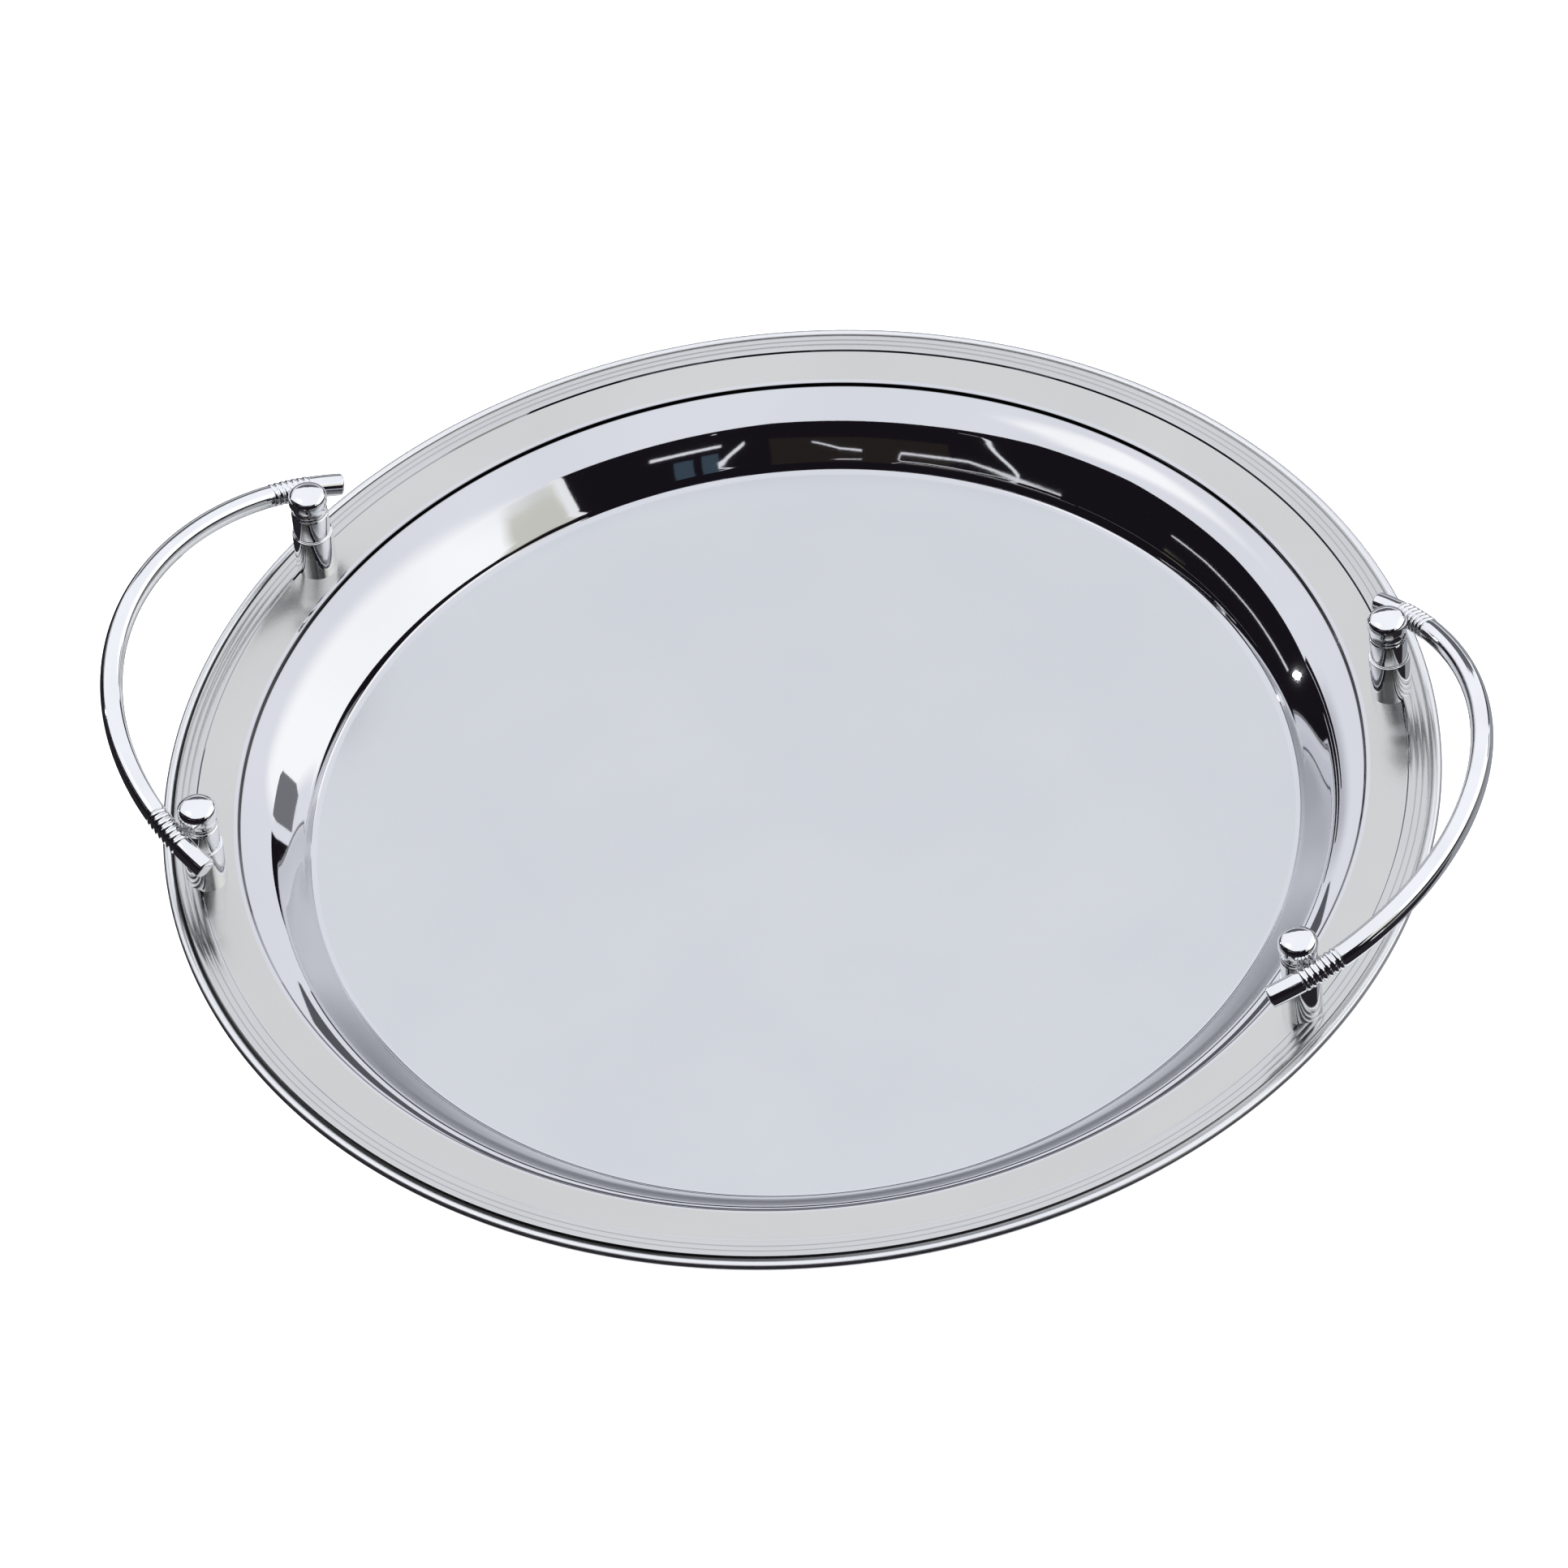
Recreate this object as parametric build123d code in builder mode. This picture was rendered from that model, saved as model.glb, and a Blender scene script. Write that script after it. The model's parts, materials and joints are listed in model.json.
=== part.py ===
from build123d import *
from math import cos, hypot, radians, sin, tan
import os

# Round serving tray with two arched bar handles, in millimetres. +Z is up, the tray
# stands on z = 0, and the handles point along -X (left) and +X (right).

# ---- driving dimensions ------------------------------------------------------------
tray_radius = 200.0        # outside of the rolled edge
sheet = 1.2                # steel sheet thickness

# dished well, from the middle outwards
floor_radius = 153.5       # flat floor
foot_radius = 2.2          # inside fillet where the floor turns up into the wall
wall_angle = 46.5          # slope of the well's wall, degrees
shoulder_start = 164.6     # wall turns into the rounded shoulder
shoulder_end = 175.9       # shoulder meets the step below the flat band
shoulder_angle = 19.0      # slope left at the shoulder's outer end, degrees

# rim, from the shoulder outwards
lip_step = 0.7             # step up from the shoulder to the band's rounded lip
lip_step_run = 0.4         # how far that step leans outwards
lip_width = 1.7
lip_rise = 0.4
band_outer = 189.6         # flat band ends at the foot of the moulding
band_rise = 0.8            # the band climbs this much towards the moulding
moulding_step = 0.5        # height of the step from the band to the moulding
moulding_step_run = 0.15   # how far that step leans outwards
groove_radii = (192.3, 194.2)   # fine lines turned into the moulding
moulding_outer = 196.2     # top of the moulding's outer riser
bead_roundness = 1.2       # radius of the moulding's beads, as a share of their width
riser_height = 1.8
riser_run = 0.6
edge_bead = 1.5            # radius of the rolled edge

# posts that carry the handles, with heights above the flat band
sleeve_radius = 6.5
sleeve_height = 15.3
collar_radius = 5.9
collar_top = 24.0
collar_groove = 0.35       # fine line between the collar and its bead
post_bead_radius = 5.85
post_bead_top = 25.3
neck_radius = 5.3
neck_waist = 0.25          # how much the neck is drawn in at mid height
neck_top = 28.2
cap_radius = 6.25
cap_edge = 1.9             # height where the cap's straight side turns into the dome
cap_height = 5.4
dome_pull = 0.55           # how full the dome is, as a share of its radius
edge_break = 0.4           # small rounding or bevel on turned edges

# fasteners inside and under each post
stud_radius = 2.0
stud_clearance = 0.1       # stud in the sleeve, the collar and the rim
stud_in_cap = 3.2
stud_below_nut = 1.0
washer_radius = 4.6
washer_below_rim = 1.9
nut_across_flats = 7.0
nut_height = 3.2
dowel_radius = 1.25
dowel_start = 2.6          # from the post's axis
dowel_past_bar = 1.2       # past the bar's axis

# handle bars: each is an arc in a plane that rises outwards
bar_radius = 3.6
arch_centre = 125.0        # centre of the arc, along X
arch_radius = 95.4
arch_tilt = 17.4           # slope of the arc's plane, degrees
touch_angle = 52.7         # where the bar passes the post, degrees round the arc
touch_height = 25.1        # bar axis above the flat band at that place
ferrule_start = 47.0       # degrees round the arc
ferrule_end = 55.2
tenon_end = 58.4
tip_end = 61.9
tenon_radius = 2.2
ferrule_radius = 3.8
ring_count = 7
ring_groove = 0.45         # depth between two rings
ring_gap = 0.05            # each ring stops this far short of its share of the length
tip_radius = 3.55
tip_rounding = 0.8

# ---- worked out from the driving dimensions ----------------------------------------
wall = radians(wall_angle)
shoulder_slope = radians(shoulder_angle)
wall_start = (floor_radius + foot_radius * sin(wall), sheet + foot_radius * (1 - cos(wall)))
wall_end = (shoulder_start, wall_start[1] + (shoulder_start - wall_start[0]) * tan(wall))
shoulder_radius = (shoulder_end - shoulder_start) / (sin(wall) - sin(shoulder_slope))
shoulder_centre = (
    wall_end[0] + shoulder_radius * sin(wall),
    wall_end[1] - shoulder_radius * cos(wall),
)
shoulder_top = shoulder_centre[1] + shoulder_radius * cos(shoulder_slope)
lip_start = (shoulder_end + lip_step_run, shoulder_top + lip_step)
band_inner = (lip_start[0] + lip_width, lip_start[1] + lip_rise)
band_z = band_inner[1] + band_rise
moulding_inner = band_outer + moulding_step_run
moulding_z = band_z + moulding_step
riser_foot = moulding_z - riser_height
edge_centre = (tray_radius - edge_bead, riser_foot)

tilt = radians(arch_tilt)
touch = radians(touch_angle)
bar_to_post = post_bead_radius + ferrule_radius
touch_x = arch_centre + arch_radius * cos(touch) * cos(tilt)
touch_y = arch_radius * sin(touch)
bar_z = band_z + touch_height
arch_z = bar_z - arch_radius * cos(touch) * sin(tilt)
sideways = hypot(cos(touch) / cos(tilt), sin(touch))
dowel_x = cos(touch) / cos(tilt) / sideways      # level direction from the post to the bar
dowel_y = sin(touch) / sideways
post_x = touch_x - bar_to_post * dowel_x
post_y = touch_y - bar_to_post * dowel_y
cap_z = band_z + neck_top
dowel_length = bar_to_post + dowel_past_bar - dowel_start
ring_pitch = (ferrule_end - ferrule_start) / ring_count      # degrees
ring_half = arch_radius * radians(ring_pitch) / 2 - ring_gap

stud_hole_radius = stud_radius + stud_clearance
sleeve_base = band_z - 2 * sheet
sleeve_top = band_z + sleeve_height
washer_base = band_z - sheet - washer_below_rim
stud_base = washer_base - nut_height - stud_below_nut

os.makedirs("parts", exist_ok=True)


# ---- rim outlines ------------------------------------------------------------------
def on_shoulder(radius, angle):
    """Point of the shoulder arc of this radius where the surface slopes by angle."""
    return (shoulder_centre[0] - radius * sin(angle), shoulder_centre[1] + radius * cos(angle))


def foot_point(radius, angle):
    """Point of the floor-to-wall arc of this radius where the surface slopes by angle."""
    return (floor_radius + radius * sin(angle), sheet + foot_radius - radius * cos(angle))


def upper_line():
    """Top surface of the tray, from its axis out to the rolled edge, inside a BuildLine."""
    middle = (wall + shoulder_slope) / 2
    Line((0, sheet), (floor_radius, sheet))
    ThreePointArc((floor_radius, sheet), foot_point(foot_radius, wall / 2), wall_start)
    Line(wall_start, wall_end)
    ThreePointArc(
        wall_end,
        on_shoulder(shoulder_radius, middle),
        (shoulder_end, shoulder_top),
    )
    Line((shoulder_end, shoulder_top), lip_start)
    Bezier(lip_start, (lip_start[0] + lip_step_run, band_inner[1]), band_inner)
    Line(band_inner, (band_outer, band_z))
    Line((band_outer, band_z), (moulding_inner, moulding_z))
    stations = (moulding_inner,) + groove_radii + (moulding_outer,)
    for inner, outer in zip(stations, stations[1:]):
        RadiusArc((inner, moulding_z), (outer, moulding_z), (outer - inner) * bead_roundness)
    Line((moulding_outer, moulding_z), (moulding_outer + riser_run, riser_foot))
    Line((moulding_outer + riser_run, riser_foot), edge_centre)


def lower_line():
    """Underside of the tray, from its axis out to the rolled edge, inside a BuildLine."""
    outer_foot = foot_radius + sheet
    inner_shoulder = shoulder_radius - sheet
    middle = (wall + shoulder_slope) / 2
    riser_inside = moulding_outer - sheet
    Line((0, 0), (floor_radius, 0))
    ThreePointArc((floor_radius, 0), foot_point(outer_foot, wall / 2), foot_point(outer_foot, wall))
    Line(foot_point(outer_foot, wall), on_shoulder(inner_shoulder, wall))
    ThreePointArc(
        on_shoulder(inner_shoulder, wall),
        on_shoulder(inner_shoulder, middle),
        on_shoulder(inner_shoulder, shoulder_slope),
    )
    Polyline(
        on_shoulder(inner_shoulder, shoulder_slope),
        (band_inner[0], band_inner[1] - sheet),
        (band_outer + sheet / 2, band_z - sheet),
        (riser_inside - sheet / 2, moulding_z - sheet),
        (riser_inside, riser_foot - sheet),
        (edge_centre[0], riser_foot - sheet),
    )


def revolved_about_axis(outline):
    """Solid of revolution about Z of the closed outline that a function draws."""
    with BuildPart() as solid:
        with BuildSketch(Plane.XZ):
            with BuildLine():
                outline()
            make_face()
        revolve(axis=Axis.Z)
    return solid.part


def tray_section():
    upper_line()
    Line(edge_centre, (edge_centre[0], riser_foot - sheet))
    lower_line()
    Line((0, 0), (0, sheet))


def below_rim():
    """Everything under the tray's top surface, for shaping what stands on the rim."""
    upper_line()
    Polyline(edge_centre, (edge_centre[0], -sheet), (0, -sheet), (0, sheet))


def above_underside():
    """Everything over the tray's underside, for shaping what lies against it."""
    ceiling = cap_z
    lower_line()
    Polyline((edge_centre[0], riser_foot - sheet), (edge_centre[0], ceiling), (0, ceiling), (0, 0))


rim_blank = revolved_about_axis(below_rim)
underside_blank = revolved_about_axis(above_underside)

# ---- tray body ---------------------------------------------------------------------
with BuildPart() as tray_body:
    add(revolved_about_axis(tray_section))
    with BuildSketch(Plane.XZ):
        with Locations(edge_centre):
            Circle(edge_bead)
    revolve(axis=Axis.Z)
    with BuildSketch(Plane.XY):
        with GridLocations(2 * post_x, 2 * post_y, 2, 2):
            Circle(stud_hole_radius)
    extrude(amount=cap_z, mode=Mode.SUBTRACT)
tray_body.part.label = "tray_body"
export_step(tray_body.part, "parts/tray_body.step")


# ---- handle geometry ---------------------------------------------------------------
def handle_plane(side):
    """Plane that a handle's arc lies in, with its origin at the arc's centre."""
    return Plane(
        origin=(side * arch_centre, 0, arch_z),
        x_dir=(side * cos(tilt), 0, sin(tilt)),
        z_dir=(-side * sin(tilt), 0, cos(tilt)),
    )


def across_bar(side, angle):
    """Plane square to a bar, this many degrees round its arc from the handle's middle."""
    arc = handle_plane(side)
    outward = arc.x_dir * cos(radians(angle)) + arc.y_dir * sin(radians(angle))
    along = arc.y_dir * cos(radians(angle)) - arc.x_dir * sin(radians(angle))
    return Plane(origin=arc.origin + outward * arch_radius, x_dir=outward, z_dir=along)


def round_bar(side, radius, start, stop, mode=Mode.ADD):
    """Bent round bar between two angles of the arc, added to or cut from the part being built."""
    arc = handle_plane(side)
    with BuildSketch(across_bar(side, start)) as section:
        Circle(radius)
    revolve(
        section.sketch,
        axis=Axis(arc.origin, arc.z_dir),
        revolution_arc=stop - start,
        mode=mode,
    )


def bar_span(side, end, near, far):
    """The two arc angles of a piece at one end of a bar, the lower one first."""
    turn = side * end
    return min(turn * near, turn * far), max(turn * near, turn * far)


def dowel_plane(side, end):
    """Plane square to a dowel where the dowel starts inside its post."""
    outward = Vector(side * dowel_x, end * dowel_y, 0)
    post = Vector(side * post_x, end * post_y, bar_z)
    return Plane(origin=post + outward * dowel_start, z_dir=outward)


def drill_for_dowel(side, end):
    """Cut the dowel's hole out of the part being built."""
    with BuildSketch(dowel_plane(side, end)) as hole:
        Circle(dowel_radius)
    extrude(hole.sketch, amount=dowel_length, mode=Mode.SUBTRACT)


# ---- posts -------------------------------------------------------------------------
for side, side_name in ((-1, "left"), (1, "right")):
    for end, end_name in ((-1, "front"), (1, "back")):
        x = side * post_x
        y = end * post_y
        place = f"{side_name}_{end_name}"
        post_axis = Axis((x, y, 0), (0, 0, 1))

        with BuildPart() as post_sleeve:
            with BuildSketch(Plane(origin=(x, y, sleeve_base))):
                Circle(sleeve_radius)
            extrude(amount=sleeve_top - sleeve_base)
            fillet(post_sleeve.faces().sort_by(Axis.Z)[-1].edges(), edge_break)
            add(rim_blank, mode=Mode.SUBTRACT)
            with BuildSketch(Plane(origin=(x, y, sleeve_base))):
                Circle(stud_hole_radius)
            extrude(amount=sleeve_top - sleeve_base, mode=Mode.SUBTRACT)
        post_sleeve.part.label = f"post_sleeve_{place}"
        export_step(post_sleeve.part, f"parts/post_sleeve_{place}.step")

        with BuildPart() as post_collar:
            with BuildSketch(Plane(origin=(x, y, band_z), x_dir=(1, 0, 0), z_dir=(0, -1, 0))):
                with BuildLine():
                    Polyline(
                        (stud_hole_radius, neck_top),
                        (stud_hole_radius, sleeve_height),
                        (collar_radius, sleeve_height),
                        (collar_radius, collar_top - collar_groove),
                        (collar_radius - collar_groove, collar_top),
                    )
                    ThreePointArc(
                        (collar_radius - collar_groove, collar_top),
                        (post_bead_radius, (collar_top + post_bead_top) / 2),
                        (collar_radius - collar_groove, post_bead_top),
                    )
                    Line((collar_radius - collar_groove, post_bead_top), (neck_radius, post_bead_top))
                    ThreePointArc(
                        (neck_radius, post_bead_top),
                        (neck_radius - neck_waist, (post_bead_top + neck_top) / 2),
                        (neck_radius, neck_top),
                    )
                    Line((neck_radius, neck_top), (stud_hole_radius, neck_top))
                make_face()
            revolve(axis=post_axis)
            drill_for_dowel(side, end)
        post_collar.part.label = f"post_collar_{place}"
        export_step(post_collar.part, f"parts/post_collar_{place}.step")

        with BuildPart() as domed_cap:
            with BuildSketch(Plane(origin=(x, y, cap_z), x_dir=(1, 0, 0), z_dir=(0, -1, 0))):
                with BuildLine():
                    Polyline(
                        (0, cap_height),
                        (0, stud_in_cap),
                        (stud_radius, stud_in_cap),
                        (stud_radius, 0),
                        (cap_radius - edge_break, 0),
                        (cap_radius, edge_break),
                        (cap_radius, cap_edge),
                    )
                    Bezier(
                        (cap_radius, cap_edge),
                        (cap_radius, cap_edge + (cap_height - cap_edge) * dome_pull),
                        (cap_radius * dome_pull, cap_height),
                        (0, cap_height),
                    )
                make_face()
            revolve(axis=post_axis)
        domed_cap.part.label = f"domed_cap_{place}"
        export_step(domed_cap.part, f"parts/domed_cap_{place}.step")

        with BuildPart() as rim_washer:
            with BuildSketch(Plane(origin=(x, y, washer_base))):
                Circle(washer_radius)
                Circle(stud_hole_radius, mode=Mode.SUBTRACT)
            extrude(amount=2 * sheet)
            add(underside_blank, mode=Mode.SUBTRACT)
        rim_washer.part.label = f"rim_washer_{place}"
        export_step(rim_washer.part, f"parts/rim_washer_{place}.step")

        with BuildPart() as hex_nut:
            with BuildSketch(Plane(origin=(x, y, washer_base - nut_height))):
                RegularPolygon(nut_across_flats / 2, 6, major_radius=False)
                Circle(stud_radius, mode=Mode.SUBTRACT)
            extrude(amount=nut_height)
        hex_nut.part.label = f"hex_nut_{place}"
        export_step(hex_nut.part, f"parts/hex_nut_{place}.step")

        with BuildPart() as post_stud:
            with BuildSketch(Plane(origin=(x, y, stud_base))):
                Circle(stud_radius)
            extrude(amount=cap_z + stud_in_cap - stud_base)
            chamfer(post_stud.faces().sort_by(Axis.Z)[0].edges(), edge_break)
        post_stud.part.label = f"post_stud_{place}"
        export_step(post_stud.part, f"parts/post_stud_{place}.step")

        with BuildPart() as handle_dowel:
            with BuildSketch(dowel_plane(side, end)):
                Circle(dowel_radius)
            extrude(amount=dowel_length)
        handle_dowel.part.label = f"handle_dowel_{place}"
        export_step(handle_dowel.part, f"parts/handle_dowel_{place}.step")

        # ---- ribbed ferrule and tip at this end of the bar ----
        ferrule_span = bar_span(side, end, ferrule_start, ferrule_end)
        with BuildPart() as ribbed_ferrule:
            round_bar(side, ferrule_radius - ring_groove, *ferrule_span)
            for ring in range(ring_count):
                ring_angle = ferrule_span[0] + (ring + 0.5) * ring_pitch
                section = across_bar(side, ring_angle)
                with BuildSketch(Plane(section.origin, x_dir=section.z_dir, z_dir=section.y_dir)) as bead:
                    with BuildLine():
                        ThreePointArc(
                            (-ring_half, ferrule_radius - 2 * ring_groove),
                            (0, ferrule_radius),
                            (ring_half, ferrule_radius - 2 * ring_groove),
                        )
                        Polyline(
                            (ring_half, ferrule_radius - 2 * ring_groove),
                            (ring_half, 0),
                            (-ring_half, 0),
                            (-ring_half, ferrule_radius - 2 * ring_groove),
                        )
                    make_face()
                revolve(bead.sketch, axis=Axis(section.origin, section.z_dir))
            round_bar(side, tenon_radius, *ferrule_span, mode=Mode.SUBTRACT)
            drill_for_dowel(side, end)
        ribbed_ferrule.part.label = f"ribbed_ferrule_{place}"
        export_step(ribbed_ferrule.part, f"parts/ribbed_ferrule_{place}.step")

        with BuildPart() as handle_tip:
            round_bar(side, tip_radius, *bar_span(side, end, ferrule_end, tip_end))
            rounded_face = handle_tip.faces().filter_by(GeomType.PLANE).sort_by(Axis.Z)[0]
            fillet(rounded_face.edges(), tip_rounding)
            round_bar(side, tenon_radius, *bar_span(side, end, ferrule_end, tenon_end), Mode.SUBTRACT)
        handle_tip.part.label = f"handle_tip_{place}"
        export_step(handle_tip.part, f"parts/handle_tip_{place}.step")

# ---- handle bars -------------------------------------------------------------------
for side, side_name in ((-1, "left"), (1, "right")):
    with BuildPart() as handle_bar:
        round_bar(side, bar_radius, -ferrule_start, ferrule_start)
        for end in (-1, 1):
            round_bar(side, tenon_radius, *bar_span(side, end, ferrule_start, tenon_end))
        for end in (-1, 1):
            drill_for_dowel(side, end)
    handle_bar.part.label = f"handle_bar_{side_name}"
    export_step(handle_bar.part, f"parts/handle_bar_{side_name}.step")
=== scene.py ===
import json
from math import asin, atan2, cos, degrees, hypot, pi, radians, sin, sqrt, tan

import bmesh
import bpy
from mathutils import Matrix, Vector

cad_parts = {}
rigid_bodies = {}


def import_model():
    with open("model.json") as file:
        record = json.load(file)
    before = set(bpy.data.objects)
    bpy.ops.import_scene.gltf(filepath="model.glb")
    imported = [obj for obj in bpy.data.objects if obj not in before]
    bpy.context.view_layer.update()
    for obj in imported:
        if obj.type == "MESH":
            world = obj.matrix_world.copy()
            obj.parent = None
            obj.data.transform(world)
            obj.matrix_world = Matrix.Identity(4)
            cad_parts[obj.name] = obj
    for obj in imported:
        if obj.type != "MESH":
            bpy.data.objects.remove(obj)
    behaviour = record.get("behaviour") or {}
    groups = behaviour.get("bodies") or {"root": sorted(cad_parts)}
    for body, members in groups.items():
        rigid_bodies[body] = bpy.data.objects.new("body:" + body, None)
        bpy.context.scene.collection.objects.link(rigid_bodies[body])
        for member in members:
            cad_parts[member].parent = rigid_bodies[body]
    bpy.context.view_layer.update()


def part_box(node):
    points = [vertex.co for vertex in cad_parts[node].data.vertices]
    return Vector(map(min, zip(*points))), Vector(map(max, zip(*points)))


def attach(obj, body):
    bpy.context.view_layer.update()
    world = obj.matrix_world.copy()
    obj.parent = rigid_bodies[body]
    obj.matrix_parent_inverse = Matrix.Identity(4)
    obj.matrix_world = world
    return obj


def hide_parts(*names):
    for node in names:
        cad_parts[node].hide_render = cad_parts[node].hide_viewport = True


# A round steel serving tray with two bar handles, and the set it stands on.
# Sections are in millimetres, and the scene is in metres.
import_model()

MM = 0.001
SIDES = ((-1, "left"), (1, "right"))
ENDS = ((-1, "front"), (1, "back"))
PLACES = [(side, end, f"{side_name}_{end_name}") for side, side_name in SIDES for end, end_name in ENDS]
SHARP_ANGLE = 32.0         # edges that bend more than this stay crisp, degrees


# ---------------------------------------------------------------- mesh helpers
def make_piece(name, verts, faces):
    """A mesh object in metres from points in millimetres, smooth except at real edges."""
    mesh = bpy.data.meshes.new(name)
    mesh.from_pydata([(x * MM, y * MM, z * MM) for x, y, z in verts], [], faces)
    mesh.validate()
    bm = bmesh.new()
    bm.from_mesh(mesh)
    bmesh.ops.recalc_face_normals(bm, faces=bm.faces)
    bm.to_mesh(mesh)
    bm.free()
    mesh.shade_smooth()
    mesh.set_sharp_from_angle(angle=radians(SHARP_ANGLE))
    piece = bpy.data.objects.new(name, mesh)
    bpy.context.scene.collection.objects.link(piece)
    return piece


def spin(outline, count, place_point):
    """Points and faces of a section carried round an axis in count steps.

    outline is [(a, b)], and place_point(a, b, k) puts a section point at step k. A point with
    a == 0 sits on the axis and is made once. An outline that ends where it starts is closed.
    """
    verts = []
    rings = []
    closed = outline[0] == outline[-1]
    points = outline[:-1] if closed else outline
    for a, b in points:
        if a == 0:
            rings.append([len(verts)] * count)
            verts.append(place_point(a, b, 0))
        else:
            rings.append(list(range(len(verts), len(verts) + count)))
            verts.extend(place_point(a, b, k) for k in range(count))
    faces = []
    pairs = list(zip(rings, rings[1:]))
    if closed:
        pairs.append((rings[-1], rings[0]))
    for lower, upper in pairs:
        for k in range(count):
            n = (k + 1) % count
            face = []
            for v in (lower[k], lower[n], upper[n], upper[k]):
                if v not in face:
                    face.append(v)
            if len(face) > 2:
                faces.append(face)
    return verts, faces


def lathe(name, outline, count, centre=(0.0, 0.0), drop=None):
    """Turned piece about a vertical axis. outline is [(radius, height)] in millimetres."""
    def place_point(radius, height, k):
        angle = 2 * pi * k / count
        x = centre[0] + radius * cos(angle)
        y = centre[1] + radius * sin(angle)
        return (x, y, drop(x, y, height) if drop else height)
    return make_piece(name, *spin(outline, count, place_point))


def arc(centre, radius, start, stop, steps):
    """Points round a circle in the section plane, angles in degrees."""
    return [(centre[0] + radius * cos(radians(start + (stop - start) * i / steps)),
             centre[1] + radius * sin(radians(start + (stop - start) * i / steps)))
            for i in range(steps + 1)]


def bezier(handles, steps):
    """Points along a quadratic or cubic curve through three or four handles."""
    points = []
    for i in range(steps + 1):
        t = i / steps
        if len(handles) == 3:
            weights = ((1 - t) ** 2, 2 * t * (1 - t), t * t)
        else:
            weights = ((1 - t) ** 3, 3 * t * (1 - t) ** 2, 3 * t * t * (1 - t), t ** 3)
        points.append(tuple(sum(weight * handle[axis] for weight, handle in zip(weights, handles))
                            for axis in (0, 1)))
    return points


LONGEST_REACH = 0.49       # share of a side that one rounded corner may use


def softened(corners, steps=4):
    """Round the corners of a section. corners is [(a, b, radius)]; radius 0 keeps the corner."""
    points = []
    for i, (a, b, radius) in enumerate(corners):
        if radius == 0 or i in (0, len(corners) - 1):
            points.append((a, b))
            continue
        here = Vector((a, b))
        to_last = Vector(corners[i - 1][:2]) - here
        to_next = Vector(corners[i + 1][:2]) - here
        opening = to_last.angle(to_next)
        shorter = min(to_last.length, to_next.length)
        reach = min(radius / tan(opening / 2), shorter * LONGEST_REACH)
        start = here + to_last.normalized() * reach
        stop = here + to_next.normalized() * reach
        points += bezier((tuple(start), (a, b), tuple(stop)), steps)
    return points


def dedupe(points, gap=1e-5):
    """The points without the ones that repeat."""
    kept = [points[0]]
    for p in points[1:]:
        if hypot(p[0] - kept[-1][0], p[1] - kept[-1][1]) > gap:
            kept.append(p)
    return kept


# ---------------------------------------------------------------- sizes, in millimetres
SHEET = 1.2
FLOOR_RADIUS = 153.5
FOOT_RADIUS = 2.2
WALL_ANGLE = 46.5
SHOULDER_START = 164.6
SHOULDER_END = 175.9
SHOULDER_ANGLE = 19.0
SHOULDER_TRIM = 1.7        # the shoulder gives way to the step's groove this much early, degrees
STEP_FOOT_INSET = 0.12     # foot of the step, inside the shoulder's end
STEP_GROOVE = 0.2          # depth of the fine groove along the foot of the step
LIP_STEP = 0.7
LIP_STEP_RUN = 0.4
LIP_STEEP_RUN = 0.22       # the lip starts almost as steep as the step
LIP_WIDTH = 1.7
LIP_RISE = 0.4
BAND_OUTER = 189.4
BAND_RISE = 0.8
MOULDING_STEP = 0.5
MOULDING_STEP_RUN = 0.44
GROOVES = (192.3, 194.2)
MOULDING_OUTER = 196.2
WALL_STEPS = 28
WALL_BOW = 0.09            # the pressed wall isn't quite straight
WALL_EASE = 1.5            # the bowed wall reaches the shoulder this much flatter, degrees
STEEPEST = 56.0            # slope of the wall just above the floor, degrees
STEEP_TO = 4.4             # height where the wall reaches its own slope
STEEP_STEPS = 16
BEAD_ROUNDNESS = 3.2
RISER_HEIGHT = 1.8
RISER_MEETS = 163.0        # where the riser runs into the rolled edge, degrees round it
EDGE_BEAD = 1.5
EDGE_ENDS = -126.87        # where the rolled edge runs into the underside, degrees round it
EDGE_INSIDE = 0.9          # the underside meets the rolled edge this far inside its middle
TRAY_COUNT = 720           # steps round the tray
STEP_FOOT_ROUND = 0.08     # roundings along the section
STEP_TOP_ROUND = 0.1
LIP_TOP_ROUND = 0.4
MOULDING_FOOT_ROUND = 0.04
RISER_TOP_ROUND = 0.15
FLOOR_RINGS = (20, 60, 100, 140, 150)      # radii of plain rings of points
FLOOR_RIM_RING = 152.5
BAND_RINGS = (180.0, 182.0, 184.0, 186.0, 188.0)

wall = radians(WALL_ANGLE)
shoulder_slope = radians(SHOULDER_ANGLE)
wall_start = (FLOOR_RADIUS + FOOT_RADIUS * sin(wall), SHEET + FOOT_RADIUS * (1 - cos(wall)))
wall_end = (SHOULDER_START, wall_start[1] + (SHOULDER_START - wall_start[0]) * tan(wall))
shoulder_radius = (SHOULDER_END - SHOULDER_START) / (sin(wall) - sin(shoulder_slope))
shoulder_centre = (wall_end[0] + shoulder_radius * sin(wall), wall_end[1] - shoulder_radius * cos(wall))
shoulder_top = shoulder_centre[1] + shoulder_radius * cos(shoulder_slope)
lip_start = (SHOULDER_END + LIP_STEP_RUN, shoulder_top + LIP_STEP)
band_inner = (lip_start[0] + LIP_WIDTH, lip_start[1] + LIP_RISE)
band_z = band_inner[1] + BAND_RISE
moulding_inner = BAND_OUTER + MOULDING_STEP_RUN
moulding_z = band_z + MOULDING_STEP
riser_foot = moulding_z - RISER_HEIGHT

tray_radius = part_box("tray_body")[1].x / MM
edge_centre = (tray_radius - EDGE_BEAD, riser_foot)


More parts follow.
